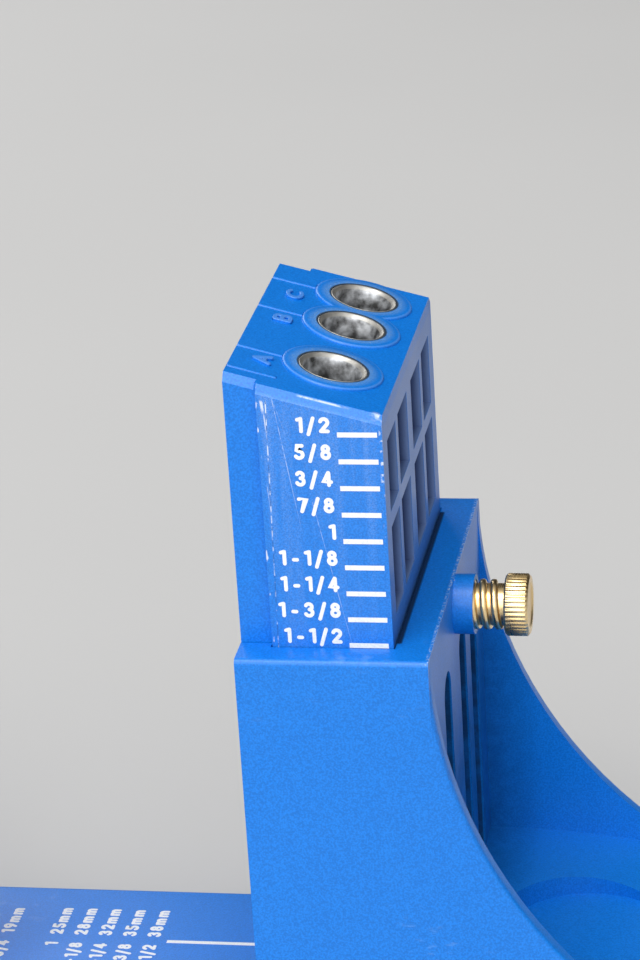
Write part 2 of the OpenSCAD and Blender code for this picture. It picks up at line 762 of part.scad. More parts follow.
jig_base();
drill_guide();
drill_bush_a();
drill_bush_b();
drill_bush_c();
lock_screw();
bracket_near();
bracket_far();
rod_guide();
guide_rivets();
bracket_washers();
bracket_bolts();
bracket_nuts();
handle_pivot();
stop_rivet();
handle_lever();
handle_grip();
crank_pin();
link_near();
link_far();
link_pin();
push_rod();
lock_nut();
pad_spindle();
clamp_pad();
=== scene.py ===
import json
import math

import bmesh
import bpy
from mathutils import Matrix, Vector


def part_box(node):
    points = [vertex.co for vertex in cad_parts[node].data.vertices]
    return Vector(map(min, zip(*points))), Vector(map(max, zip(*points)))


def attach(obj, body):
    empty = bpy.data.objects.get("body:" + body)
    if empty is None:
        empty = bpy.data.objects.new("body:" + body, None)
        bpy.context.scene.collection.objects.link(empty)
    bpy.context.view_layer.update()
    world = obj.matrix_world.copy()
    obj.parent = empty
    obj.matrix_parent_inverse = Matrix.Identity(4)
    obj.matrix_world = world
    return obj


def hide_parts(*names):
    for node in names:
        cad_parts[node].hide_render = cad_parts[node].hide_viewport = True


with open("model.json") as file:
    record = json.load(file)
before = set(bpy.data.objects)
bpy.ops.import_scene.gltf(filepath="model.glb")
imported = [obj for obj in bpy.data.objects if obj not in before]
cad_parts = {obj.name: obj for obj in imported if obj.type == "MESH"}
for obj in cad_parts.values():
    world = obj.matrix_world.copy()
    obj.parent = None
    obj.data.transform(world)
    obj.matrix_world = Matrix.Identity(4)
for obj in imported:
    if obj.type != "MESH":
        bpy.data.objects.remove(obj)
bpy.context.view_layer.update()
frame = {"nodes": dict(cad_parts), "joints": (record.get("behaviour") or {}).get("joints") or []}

# Jig base. One glass-filled nylon moulding with plate, tower, gussets, boss and ramp,
# pigmented blue, with a fine spark-eroded grain and soft mould edges. Shade is painted dark
# into its inner corners, into its slots and into the gap beside the guide.
MM = 0.001
foot_end, base_half, tower_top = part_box("jig_base")[1]
plate_top = 14 * MM
foot_corner = 8 * MM
wall_inside = 29.5 * MM
wall_outside = 36.4 * MM
channel_half = 31.6 * MM
gusset_inside = base_half - 3.5 * MM
crease = math.radians(32)


def shader(name):
    material = bpy.data.materials.new(name)
    material.use_nodes = True
    tree = material.node_tree
    return material, tree, tree.nodes["Principled BSDF"]


def place(tree, stretch=(1, 1, 1), turn=(0, 0, 0)):
    coordinates = tree.nodes.new("ShaderNodeTexCoord")
    mapping = tree.nodes.new("ShaderNodeMapping")
    mapping.inputs["Scale"].default_value = stretch
    mapping.inputs["Rotation"].default_value = turn
    tree.links.new(coordinates.outputs["Object"], mapping.inputs["Vector"])
    return mapping.outputs["Vector"]


def axes(tree):
    split = tree.nodes.new("ShaderNodeSeparateXYZ")
    tree.links.new(place(tree), split.inputs["Vector"])
    return [split.outputs[name] for name in "XYZ"]


def noise(tree, scale, detail=4, stretch=(1, 1, 1), turn=(0, 0, 0)):
    texture = tree.nodes.new("ShaderNodeTexNoise")
    texture.inputs["Scale"].default_value = scale
    texture.inputs["Detail"].default_value = detail
    tree.links.new(place(tree, stretch, turn), texture.inputs["Vector"])
    return texture.outputs["Fac"]


def ramp(tree, value, *stops):
    node = tree.nodes.new("ShaderNodeValToRGB")
    elements = node.color_ramp.elements
    for i, (at, colour) in enumerate(stops):
        element = elements[i] if i < 2 else elements.new(at)
        element.position = at
        element.color = (*colour, 1)
    tree.links.new(value, node.inputs["Fac"])
    return node.outputs["Color"]


def remap(tree, value, low, high, to_low, to_high):
    node = tree.nodes.new("ShaderNodeMapRange")
    for socket, number in zip(("From Min", "From Max", "To Min", "To Max"), (low, high, to_low, to_high)):
        node.inputs[socket].default_value = number
    tree.links.new(value, node.inputs["Value"])
    return node.outputs["Result"]


def fade(tree, value, start, full, strength=1):
    return remap(tree, value, start, full, 0, strength)


def math_node(tree, operation, first, second):
    node = tree.nodes.new("ShaderNodeMath")
    node.operation = operation
    for socket, value in zip(node.inputs, (first, second)):
        if isinstance(value, (int, float)):
            socket.default_value = value
        else:
            tree.links.new(value, socket)
    return node.outputs["Value"]


def blend_colour(tree, factor, first, second):
    node = tree.nodes.new("ShaderNodeMix")
    node.data_type = "RGBA"
    tree.links.new(factor, node.inputs["Factor"])
    for name, value in (("A", first), ("B", second)):
        socket = next(s for s in node.inputs if s.name == name and s.type == "RGBA")
        if isinstance(value, tuple):
            socket.default_value = (*value, 1)
        else:
            tree.links.new(value, socket)
    return next(s for s in node.outputs if s.type == "RGBA")


def combine(tree, operation, *values):
    total = values[0]
    for value in values[1:]:
        total = math_node(tree, operation, total, value)
    return total


def product(tree, *factors):
    return combine(tree, "MULTIPLY", *factors)


def strongest(tree, *factors):
    return combine(tree, "MAXIMUM", *factors)


def away_from(tree, value, middle):
    return math_node(tree, "ABSOLUTE", math_node(tree, "SUBTRACT", value, middle), 0)


def bump(tree, surface, height, distance, strength):
    node = tree.nodes.new("ShaderNodeBump")
    node.inputs["Strength"].default_value = strength
    node.inputs["Distance"].default_value = distance
    tree.links.new(height, node.inputs["Height"])
    tree.links.new(node.outputs["Normal"], surface.inputs["Normal"])


def moulded_blue(name):
    material, tree, surface = shader(name)
    grain = noise(tree, 2700, 2)
    tone = ramp(tree, grain, (0.36, (0.0004, 0.158, 0.62)), (0.64, (0.0040, 0.216, 0.78)))
    tree.links.new(remap(tree, noise(tree, 30, 3), 0.3, 0.7, 0.30, 0.40), surface.inputs["Roughness"])
    bump(tree, surface, grain, 0.06 * MM, 0.4)
    return material, tree, surface, tone


def settle(bm, name):
    bmesh.ops.recalc_face_normals(bm, faces=bm.faces)
    for edge in bm.edges:
        edge.smooth = len(edge.link_faces) == 2 and edge.calc_face_angle() < crease
    for face in bm.faces:
        face.smooth = True
    mesh = bpy.data.meshes.new(name)
    bm.to_mesh(mesh)
    bm.free()
    piece = bpy.data.objects.new(name, mesh)
    bpy.context.scene.collection.objects.link(piece)
    return piece


def softened(node, width, shape=None):
    bm = bmesh.new()
    bm.from_mesh(frame["nodes"][node].data)
    bmesh.ops.remove_doubles(bm, verts=bm.verts, dist=0.004 * MM)
    flat = math.radians(0.5)
    bmesh.ops.dissolve_limit(bm, angle_limit=flat, verts=bm.verts, edges=bm.edges)
    if shape:
        shape(bm)
    piece = settle(bm, node + "_moulded")
    edge = piece.modifiers.new("edges", "BEVEL")
    edge.width = width
    edge.segments = 2
    edge.limit_method = "ANGLE"
    edge.angle_limit = crease
    edge.harden_normals = True
    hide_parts(node)
    return piece


def round_foot(bm):
    for v in bm.verts:
        middle = Vector((foot_end - foot_corner, math.copysign(base_half - foot_corner, v.co.y)))
        out = v.co.xy - middle
        outside = out.x > 0 and out.y * middle.y > 0 and out.length > foot_corner
        if outside and v.co.z > plate_top - 0.01 * MM:
            v.co.xy = middle + out.normalized() * foot_corner


base = softened("jig_base", 0.35 * MM, round_foot)
base_blue, tree, surface, tone = moulded_blue("base_blue")
x, y, z = axes(tree)
smears = noise(tree, 500, 3, (0.5, 0.5, 1.6), (0, math.radians(20), 0))
handled = product(tree, fade(tree, noise(tree, 45, 2), 0.56, 0.68), fade(tree, smears, 0.58, 0.70, 0.22))
tone = blend_colour(tree, handled, tone, (0.30, 0.50, 0.86))
rim = product(tree, fade(tree, z, tower_top - 0.7 * MM, tower_top - 0.3 * MM),
              fade(tree, away_from(tree, x, wall_outside - 0.2 * MM), 0.5 * MM, 0.25 * MM))
nicks = product(tree, rim, fade(tree, noise(tree, 1900, 3), 0.50, 0.62, 0.5))
tone = blend_colour(tree, nicks, tone, (0.62, 0.76, 0.92))
# Painted shade. Dark colour is laid into the corner between the tower's drill face and the gussets and into
# the chip slots. A painted shadow runs along the gap beside the guide. It is mottled by noise and has less
# specular where it is darkest.
shade_mottle = remap(tree, noise(tree, 300, 4), 0.3, 0.6, 0.7, 1)
off_middle = away_from(tree, y, 0)
between_gussets = fade(tree, off_middle, gusset_inside + 0.6 * MM, gusset_inside + 0.2 * MM)
corner_painted_shade = product(tree, shade_mottle, between_gussets,
                      fade(tree, x, wall_outside - 0.5 * MM, wall_outside - 0.1 * MM),
                      fade(tree, x, wall_outside + 11.6 * MM, wall_outside + 0.6 * MM),
                      fade(tree, z, tower_top - 6 * MM, tower_top - 38 * MM, 0.5))
slot_painted_shade = product(tree, shade_mottle, between_gussets,
                    fade(tree, x, wall_inside + 0.1 * MM, wall_inside + 0.5 * MM),
                    fade(tree, x, wall_outside - 0.1 * MM, wall_outside - 0.5 * MM, 0.85),
                    fade(tree, z, tower_top - 4 * MM, tower_top - 8 * MM))
gap_painted_shadow = product(tree, fade(tree, x, wall_inside + 1.1 * MM, wall_inside + 0.7 * MM, 0.97),
                   fade(tree, x, wall_inside - 1.5 * MM, wall_inside - 1.1 * MM),
                   fade(tree, off_middle, channel_half, channel_half - 0.6 * MM),
                   fade(tree, z, tower_top - 2 * MM, tower_top - 1 * MM))
painted_shade = strongest(tree, corner_painted_shade, slot_painted_shade, gap_painted_shadow)
tree.links.new(blend_colour(tree, painted_shade, tone, (0.008, 0.022, 0.060)), surface.inputs["Base Color"])
tree.links.new(remap(tree, painted_shade, 0, 0.55, 0.5, 0.12), surface.inputs["Specular IOR Level"])
base.data.materials.append(base_blue)
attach(base, "base")

# Base print. White pad-printed ink on the plate: columns of board thicknesses for setting
# the clamp, in millimetres and in inches, and a rule line that runs from them to the tower.
ink_foot = -0.02 * MM
ink_top = 0.04 * MM
label_height = 3 * MM
label_weight = 0.24
column_from = -33.4 * MM
column_pitch = 5.36 * MM
metric_from = 19 * MM
inch_to = 15.6 * MM
rule_from = -31.6 * MM
rule_to = -0.6 * MM
rule_row = 17.3 * MM
rule_half = 0.55 * MM
arc_steps = 16


def arc(x, y, radius, start, end):
    turns = [math.radians(start + (end - start) * i / arc_steps) for i in range(arc_steps + 1)]
    return [(x + radius * math.cos(turn), y + radius * math.sin(turn)) for turn in turns]


glyphs = {
    "1": (0.42, [[(0.10, 0.82), (0.30, 0.88)], [(0.30, 0.88), (0.30, 0.12)]], []),
    "2": (0.66, [arc(0.33, 0.67, 0.21, 165, -38) + [(0.14, 0.13)], [(0.14, 0.13), (0.54, 0.13)]], []),
    "3": (0.66, [arc(0.32, 0.70, 0.18, 155, -80), arc(0.32, 0.33, 0.205, 80, -155)], []),
    "4": (0.68, [[(0.44, 0.12), (0.44, 0.86)], [(0.42, 0.88), (0.13, 0.31), (0.57, 0.31)]], []),
    "5": (0.64, [[(0.50, 0.88), (0.23, 0.88), (0.18, 0.56)] + arc(0.31, 0.34, 0.215, 105, -150)], []),
    "7": (0.62, [[(0.11, 0.88), (0.51, 0.88), (0.26, 0.12)]], []),
    "8": (0.66, [], [arc(0.33, 0.70, 0.165, 0, 360)[:-1], arc(0.33, 0.33, 0.20, 0, 360)[:-1]]),
    "9": (0.66, [[(0.53, 0.62), (0.49, 0.42), (0.30, 0.12)]], [arc(0.33, 0.67, 0.20, 0, 360)[:-1]]),
    "m": (0.92, [[(0.12, 0.12), (0.12, 0.60)], arc(0.29, 0.44, 0.165, 180, 0) + [(0.455, 0.12)],
                 arc(0.62, 0.44, 0.165, 180, 0) + [(0.785, 0.12)]], []),
    "/": (0.50, [[(0.10, -0.06), (0.40, 0.92)]], []),
    "-": (0.66, [[(0.23, 0.38), (0.43, 0.38)]], []),
    "A": (0.80, [[(0.12, 0.12), (0.40, 0.88)], [(0.40, 0.88), (0.68, 0.12)],
                 [(0.24, 0.38), (0.56, 0.38)]], []),
    "B": (0.70, [[(0.15, 0.12), (0.15, 0.88)],
                 [(0.15, 0.88), (0.34, 0.88)] + arc(0.36, 0.70, 0.18, 80, -80),
                 [(0.15, 0.52), (0.34, 0.52)] + arc(0.37, 0.32, 0.20, 80, -80) + [(0.15, 0.12)]], []),
    "C": (0.78, [arc(0.44, 0.50, 0.35, 48, 312)], []),
}


def ring_of_edges(bm, points):
    return [bm.edges.new(pair) for pair in zip(points, points[1:] + points[:1])]


def ribbon(bm, path, half, low, high, put, closed=False, blunt=False):
    count = len(path)
    sharpest_mitre = 0.62
    cap_steps = 6
    left, right = [], []
    for i, point in enumerate(path):
        before = path[i - 1] if closed or i else point
        after = path[(i + 1) % count] if closed or i < count - 1 else point
        ahead = (Vector(after) - Vector(before)).normalized()
        side = Vector((-ahead.y, ahead.x))
        first = (Vector(point) - Vector(before)).normalized() if point != before else ahead
        reach = half / max(sharpest_mitre, abs(ahead.dot(first)))
        left.append(Vector(point) + side * reach)
        right.append(Vector(point) - side * reach)
    if closed:
        edges = []
        for ring in (left, right):
            edges += ring_of_edges(bm, [bm.verts.new(put(*p, low)) for p in ring])
        faces = bmesh.ops.bridge_loops(bm, edges=edges)["faces"]
    else:
        outline = list(left)
        for centre, rim in ((path[-1], left[-1]), (path[0], right[0])):
            if centre == path[0]:
                outline += right[::-1]
            if not blunt:
                spoke = rim - Vector(centre)
                for k in range(1, cap_steps):
                    outline.append(Vector(centre) + Matrix.Rotation(-math.pi * k / cap_steps, 2) @ spoke)
        faces = [bm.faces.new([bm.verts.new(put(*p, low)) for p in outline])]
    raised = bmesh.ops.extrude_face_region(bm, geom=faces)["geom"]
    bmesh.ops.translate(bm, verts=[part for part in raised if isinstance(part, bmesh.types.BMVert)],
                        vec=put(0, 0, high) - put(0, 0, low))


def write(bm, text, height, weight, low, high, put, flush_right=False):
    gap = 0.19
    stroke_step = 0.002 * MM
    cursor = -sum(glyphs[c][0] + gap for c in text) + gap if flush_right else 0
    for c in text:
        width, strokes, loops = glyphs[c]
        for k, path in enumerate(strokes + loops):
            moved = [((cursor + x) * height, y * height) for x, y in path]
            ribbon(bm, moved, weight * height / 2, low, high + stroke_step * k, put, closed=k >= len(strokes))
        cursor += width + gap


bm = bmesh.new()
for i, metric, inch in ((0, "38", "1-1/2"), (1, "35", "1-3/8"), (2, "32", "1-1/4"), (3, "28", "1-1/8"),
                        (4, "25", "1"), (6, "19", "3/4")):
    column = column_from - i * column_pitch

    def on_plate(u, v, w):
        return Vector((column - v, u, plate_top + w))

    write(bm, metric + "mm", label_height, label_weight, ink_foot, ink_top,
          lambda u, v, w: on_plate(u + metric_from, v, w))
    write(bm, inch, label_height, label_weight, ink_foot, ink_top,
          lambda u, v, w: on_plate(u + inch_to, v, w), flush_right=True)
ribbon(bm, [(rule_from, rule_row), (rule_to, rule_row)], rule_half, ink_foot, ink_top,
       lambda u, v, w: Vector((u, v, plate_top + w)), blunt=True)
base_print = settle(bm, "base_print")
ink, tree, surface = shader("white_ink")
tree.links.new(ramp(tree, noise(tree, 2500, 3), (0.25, (0.74, 0.77, 0.80)), (0.6, (0.90, 0.91, 0.92))),
               surface.inputs["Base Color"])
surface.inputs["Roughness"].default_value = 0.55
base_print.data.materials.append(ink)
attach(base_print, "base")

# Drill guide. A blue moulding of the same nylon, cored from its drill face, that slides in the tower.
# Years of use have scuffed its upper edges white and hazed the rings round the bushes, and
# a clear label with a worn edge is stuck to its near face.
guide_low, guide_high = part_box("drill_guide")
near_face = guide_low.y
drill_face = guide_high.x
slope = math.radians(15)
top_edge = 161.75 * MM
hole_from_face = 17.8 * MM
hole_top = top_edge - hole_from_face * math.tan(slope)
hole_rows = []
for letter in "abc":
    bush_low, bush_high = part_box("drill_bush_" + letter)
    hole_rows.append((bush_low.y + bush_high.y) / 2)
along = Vector((math.cos(slope), 0, -math.sin(slope)))
out_of_top = Vector((math.sin(slope), 0, math.cos(slope)))
ring_drop = 0.4
bush_seat = 7.2 * MM
window_floor = 7 * MM
step_line = 6.5 * MM


def ease_rings(bm):
    rise = {v: (v.co - Vector((0, 0, top_edge))).dot(out_of_top) for v in bm.verts}
    raised = {v for v in bm.verts if rise[v] > 0.1 * MM}
    for v in raised:
        v.co -= out_of_top * ring_drop * rise[v]
    rims = []
    for edge in bm.edges:
        if raised.issuperset(edge.verts) and edge.is_manifold and edge.calc_face_angle_signed() > crease:
            middle = (edge.verts[0].co + edge.verts[1].co) / 2
            if all(math.dist(middle.xy, (hole_from_face, row)) > bush_seat for row in hole_rows):
                rims.append(edge)
    bmesh.ops.bevel(bm, geom=rims, offset=0.42 * MM, offset_type="OFFSET", affect="EDGES", segments=3,
                    profile=0.5, material=-1)


guide = softened("drill_guide", 0.12 * MM, ease_rings)
guide_blue, tree, surface, tone = moulded_blue("guide_blue")
x, y, z = axes(tree)
speck = noise(tree, 5200, 4)


def vector_math(tree, operation, first, second=(0, 0, 0)):
    node = tree.nodes.new("ShaderNodeVectorMath")
    node.operation = operation
    tree.links.new(first, node.inputs[0])
    node.inputs[1].default_value = second
    return node


def off_axis(tree):
    position = place(tree)
    spans = []
    for row in hole_rows:
        away = vector_math(tree, "SUBTRACT", position, (hole_from_face, row, hole_top))
        cross = vector_math(tree, "CROSS_PRODUCT", away.outputs["Vector"], out_of_top)
        spans.append(vector_math(tree, "LENGTH", cross.outputs["Vector"]).outputs["Value"])
    return combine(tree, "MINIMUM", *spans)


def reach_from(tree, start, direction):
    away = vector_math(tree, "SUBTRACT", place(tree), start)
    return vector_math(tree, "DOT_PRODUCT", away.outputs["Vector"], direction).outputs["Value"]


def scratch(tree, start, end, half):
    first, last = (Vector((x, 0, z)) * MM for x, z in (start, end))
    run = (last - first).length
    ahead = (last - first) / run
    aside = Vector((ahead.z, 0, -ahead.x))
    across = away_from(tree, reach_from(tree, first, aside), 0)
    gone = reach_from(tree, first, ahead)
    return product(tree, fade(tree, across, half * MM, 0.3 * half * MM), fade(tree, gone, 0, 0.3 * MM),
                   fade(tree, gone, run, 0.5 * run))


span = off_axis(tree)
from_top = reach_from(tree, (0, 0, top_edge), out_of_top)
on_top = fade(tree, from_top, -0.3 * MM, 0.1 * MM)
hazed = product(tree, on_top, fade(tree, span, 8.8 * MM, 7.4 * MM),
                remap(tree, speck, 0.40, 0.62, 0.20, 0.70))
tone = blend_colour(tree, hazed, tone, (0.17, 0.35, 0.60))
dots = product(tree, on_top, fade(tree, span, 8.2 * MM, 7.6 * MM), fade(tree, speck, 0.64, 0.70, 0.85))
tone = blend_colour(tree, dots, tone, (0.62, 0.76, 0.90))
grime = product(tree, on_top, fade(tree, span, 7.0 * MM, 6.85 * MM, 0.9))
tone = blend_colour(tree, grime, tone, (0.030, 0.045, 0.060))
# The raised tops of the rings, lines and letters are made paler: partly wear, partly a painted highlight.
worn_and_highlit = product(tree, fade(tree, from_top, 0.25 * MM, 0.4 * MM, 0.4), fade(tree, span, 9 * MM, 9.4 * MM))
tone = blend_colour(tree, worn_and_highlit, tone, (0.16, 0.37, 0.86))
near = fade(tree, y, near_face + 0.5 * MM, near_face + 0.05 * MM)
upper = remap(tree, z, 118 * MM, 158 * MM, 0.6, 1.5)
streak = remap(tree, noise(tree, 330, 3, (1, 1, 0.06)), 0.42, 0.68, 0.4, 1.8)
dust = product(tree, near, upper, streak, remap(tree, speck, 0.40, 0.66, 0.03, 0.20))
tone = blend_colour(tree, dust, tone, (0.36, 0.52, 0.84))
fleck = product(tree, fade(tree, y, near_face + 1.2 * MM, near_face + 0.6 * MM),
                fade(tree, away_from(tree, x, step_line), 0.35 * MM, 0.1 * MM),
                fade(tree, noise(tree, 900, 3, (1, 1, 0.4)), 0.60, 0.66, 0.8))
scratches = []
for start, end, half, clear in (
        ((7.5, 157.2), (8.0, 149.0), 0.13, 0.75), ((7.2, 157.4), (7.6, 154.4), 0.34, 0.8),
        ((9.3, 157.6), (13.4, 131.0), 0.08, 0.5), ((9.6, 156.6), (11.6, 150.0), 0.06, 0.25),
        ((7.4, 140.5), (7.9, 133.0), 0.08, 0.4), ((15.6, 137.5), (22.6, 103.0), 0.06, 0.45)):
    broken = remap(tree, noise(tree, 800, 3), 0.36, 0.50, 0.15 * clear, clear)
    scratches.append(product(tree, near, broken, scratch(tree, start, end, half)))
label_edge = product(tree, near, scratch(tree, (8.1, 157.4), (6.8, 57.4), 0.15))
label_shade = product(tree, label_edge, fade(tree, noise(tree, 500, 3), 0.42, 0.52, 0.5))
tone = blend_colour(tree, label_shade, tone, (0.015, 0.055, 0.19))
label_wear = product(tree, label_edge, upper, fade(tree, noise(tree, 700, 4), 0.50, 0.58, 0.65))
chipped = product(tree, near, fade(tree, x, drill_face - 0.7 * MM, drill_face - 0.3 * MM),
                  fade(tree, z, 128 * MM, 140 * MM), fade(tree, noise(tree, 1100, 3), 0.56, 0.64, 0.8))
rubbed_edge = product(tree, fade(tree, away_from(tree, y, near_face + 1.1 * MM), 0.34 * MM, 0.12 * MM),
                      fade(tree, from_top, -0.45 * MM, -0.2 * MM), fade(tree, x, 13.6 * MM, 14.4 * MM),
                      fade(tree, x, 23.4 * MM, 20.8 * MM), fade(tree, noise(tree, 700, 5), 0.38, 0.52))
rubbed_corner = product(tree, fade(tree, x, drill_face - 2.6 * MM, drill_face - 0.2 * MM),
                        fade(tree, y, near_face + 2.4 * MM, near_face + 1.2 * MM),
                        fade(tree, from_top, -1.2 * MM, -0.3 * MM),
                        fade(tree, noise(tree, 800, 6), 0.48, 0.60, 0.9))
# Painted light in the cored windows of the drill face: a grey-blue painted sheen near each window's mouth,
# darkening to painted shade deeper in, with less specular there.
inside = product(tree, fade(tree, x, window_floor - 0.2 * MM, window_floor + 0.2 * MM),
                 fade(tree, away_from(tree, y, 0), -near_face - 0.8 * MM, -near_face - 1.4 * MM),
                 fade(tree, from_top, -2 * MM, -3 * MM))
window_mouth_sheen = product(tree, inside, remap(tree, x, drill_face - 0.02 * MM, drill_face - 0.2 * MM, 0.3, 0.8))
tone = blend_colour(tree, window_mouth_sheen, tone, (0.19, 0.26, 0.45))
window_painted_shade = product(tree, inside, fade(tree, x, drill_face - 0.3 * MM, drill_face - 1.8 * MM, 0.8))
tone = blend_colour(tree, window_painted_shade, tone, (0.022, 0.032, 0.115))
tree.links.new(remap(tree, window_painted_shade, 0, 0.8, 0.5, 0.15), surface.inputs["Specular IOR Level"])
worn = strongest(tree, fleck, *scratches, label_wear, chipped, rubbed_edge, rubbed_corner)
tree.links.new(blend_colour(tree, worn, tone, (0.80, 0.86, 0.94)), surface.inputs["Base Color"])
guide.data.materials.append(guide_blue)
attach(guide, "guide")

# Hole letters. A, B and C, moulded with the guide and standing 0.5 mm out of its sloping top,
# each beside the raised line of its hole.
letter_height = 3.9 * MM
letter_weight = 0.2
letter_stretch = 1.4
letter_foot = -0.2 * MM
letter_top = 0.5 * MM
letter_down = 7.6 * MM
bm = bmesh.new()
for letter, row in (("A", -23 * MM), ("B", -0.5 * MM), ("C", 12.8 * MM)):
    def on_slope(u, v, w):
        return Vector((0, row + letter_stretch * u, top_edge)) + along * (letter_down - v) + out_of_top * w

    write(bm, letter, letter_height, letter_weight, letter_foot, letter_top, on_slope)
letters = settle(bm, "hole_letters")
edge = letters.modifiers.new("edges", "BEVEL")
edge.width = 0.18 * MM
edge.segments = 2
edge.limit_method = "ANGLE"
letters.data.materials.append(guide_blue)
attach(letters, "guide")

# Thickness scale. White ink on the clear label of the guide's near face: nine marks and the board
# thickness in inches beside each, the lowest level with the tower's top at this setting.
scale_top = 0.035 * MM
mark_low = 108.49 * MM
mark_pitch = 5.27 * MM
mark_half = 0.48 * MM
mark_from = 20.95 * MM
mark_to = 28.3 * MM
digit_height = 3.2 * MM
digit_weight = 0.222
digit_to = 19.7 * MM
digit_lift = 0.28 * MM
bm = bmesh.new()
for i, text in enumerate(("1-1/2", "1-3/8", "1-1/4", "1-1/8", "1", "7/8", "3/4", "5/8", "1/2")):
    mark = mark_low + i * mark_pitch

    def on_side(u, v, w):
        return Vector((u, near_face - w, mark + v))

    ribbon(bm, [(mark_from, 0), (mark_to, 0)], mark_half, ink_foot, scale_top, on_side, blunt=True)
    write(bm, text, digit_height, digit_weight, ink_foot, scale_top,
          lambda u, v, w: on_side(u + digit_to, v + digit_lift, w), flush_right=True)
scale_print = settle(bm, "scale_print")
scale_print.data.materials.append(ink)
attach(scale_print, "guide")

# Drill bushes. Hardened steel tubes, turned and ground, moulded into the guide, with a lead-in
# cone that the drill's stop collar and chips have polished and greyed.
bore_edge = 5.65 * MM
bush_profile = ((4.8, -36), (4.8, -5), (4.95, -3), (5.25, -1.5), (5.5, -0.7), (5.62, -0.2), (6.15, 0.36),
                (6.28, 0.45), (6.4, 0.46), (6.52, 0.36), (6.55, 0.2), (6.55, -1.2), (6.6, -1.4),
                (6.6, -35.6), (6.2, -36))


def lathe(bm, profile, frame_of_axis, steps=64, closed=False):
    points = [bm.verts.new(frame_of_axis @ Vector((r, 0, h))) for r, h in profile]
    pairs = list(zip(points, points[1:])) + ([(points[-1], points[0])] if closed else [])
    edges = [bm.edges.new(pair) for pair in pairs]
    bmesh.ops.spin(bm, geom=points + edges, cent=frame_of_axis.translation,
                   axis=frame_of_axis.to_3x3() @ Vector((0, 0, 1)), angle=2 * math.pi, steps=steps,
                   use_merge=True)
    bmesh.ops.remove_doubles(bm, verts=bm.verts, dist=0.002 * MM)


bush_steel, tree, surface = shader("bush_steel")
rubbed = noise(tree, 420, 6)
turned = noise(tree, 60, 3, (1, 1, 90), (0, -slope, 0))
bright = ramp(tree, rubbed, (0.30, (0.40, 0.39, 0.365)), (0.70, (0.66, 0.645, 0.605)))
greased = ramp(tree, rubbed, (0.36, (0.10, 0.10, 0.10)), (0.50, (0.36, 0.37, 0.385)),
               (0.66, (0.74, 0.76, 0.79)))
ground = fade(tree, off_axis(tree), bore_edge - 0.05 * MM, bore_edge + 0.05 * MM)
tree.links.new(blend_colour(tree, ground, greased, bright), surface.inputs["Base Color"])
surface.inputs["Metallic"].default_value = 1
tree.links.new(remap(tree, turned, 0.3, 0.7, 0.44, 0.60), surface.inputs["Roughness"])
bump(tree, surface, rubbed, 0.1 * MM, 0.35)
for letter, row in zip("abc", hole_rows):
    bm = bmesh.new()
    bush_axis = Matrix.Translation((hole_from_face, row, hole_top)) @ Matrix.Rotation(slope, 4, "Y")
    lathe(bm, [(r * MM, h * MM) for r, h in bush_profile], bush_axis, closed=True)
    bush = settle(bm, "bush_" + letter)
    bush.data.materials.append(bush_steel)
    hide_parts("drill_bush_" + letter)
    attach(bush, "guide")

# Lock screw. Turned from bright brass bar: a coarse rounded thread in the boss, then a head
# with a straight knurl, chamfered at both ends so that it is kind to the fingers.
lock_low, lock_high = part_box("lock_screw")
lock_height = (lock_low.z + lock_high.z) / 2
head_length = 4.7 * MM
head_from = lock_high.x - head_length
thread_from = lock_low.x + 0.1 * MM
lock_crest = 4.95 * MM
lock_root = 4.15 * MM
lock_pitch = 2.15 * MM
neck = 4.3 * MM
neck_length = 0.6 * MM
knurl = 6.1 * MM
ridges = 40
tooth = (0.2, 0.2, 0.08, 0, 0, 0.08)
head_profile = ((0, 5.7), (0.15, 5.85), (0.4, 6.1), (4.2, 6.1), (4.5, 5.8), (4.7, 5.6), (4.7, 4.6),
                (4.45, 4.2))


def thread(bm, start, end, crest, root, pitch, height, steps):
    sunk, flank, shoulder = root - 0.15 * MM, crest - 0.2 * MM, crest - 0.04 * MM
    shape = ((-0.47, sunk), (-0.38, root), (-0.27, flank), (-0.16, shoulder), (0, crest), (0.16, shoulder),
             (0.27, flank), (0.38, root), (0.47, sunk))
    points = [bm.verts.new((start + x * pitch, 0, height + r)) for x, r in shape]
    turns = (end - start) / pitch
    whole = int(turns * steps)
    bmesh.ops.spin(bm, geom=points + ring_of_edges(bm, points), cent=(start, 0, height), axis=(1, 0, 0),
                   angle=2 * math.pi * turns, steps=whole, dvec=((end - start) / whole, 0, 0))
    bmesh.ops.holes_fill(bm, edges=[e for e in bm.edges if len(e.link_faces) == 1])


def skin(bm, rings):
    loops = [ring_of_edges(bm, ring) for ring in rings]
    for one, two in zip(loops, loops[1:]):
        bmesh.ops.bridge_loops(bm, edges=one + two)
    bm.faces.new(rings[0])
    bm.faces.new(rings[-1])


bm = bmesh.new()
thread(bm, thread_from + 1.5 * MM, head_from - neck_length, lock_crest, lock_root, lock_pitch, lock_height,
       steps=40)
lock_axis = Matrix.Translation((0, 0, lock_height)) @ Matrix.Rotation(math.pi / 2, 4, "Y")
lathe(bm, [(0, thread_from), (3.2 * MM, thread_from), (lock_root, thread_from + 0.6 * MM),
           (lock_root, head_from), (neck, head_from + 0.2 * MM), (neck, head_from + neck_length),
           (0, head_from + neck_length)], lock_axis)
rings = []
for along_head, limit in head_profile:
    ring = []
    for i in range(ridges * len(tooth)):
        turn = 2 * math.pi * i / (ridges * len(tooth))
        r = min(knurl - tooth[i % len(tooth)] * MM, limit * MM)
        ring.append(bm.verts.new((head_from + along_head * MM, r * math.cos(turn),
                                  lock_height + r * math.sin(turn))))
    rings.append(ring)
skin(bm, rings)
screw = settle(bm, "brass_screw")
brass, tree, surface = shader("brass")
turned = noise(tree, 50, 3, (70, 1, 1))
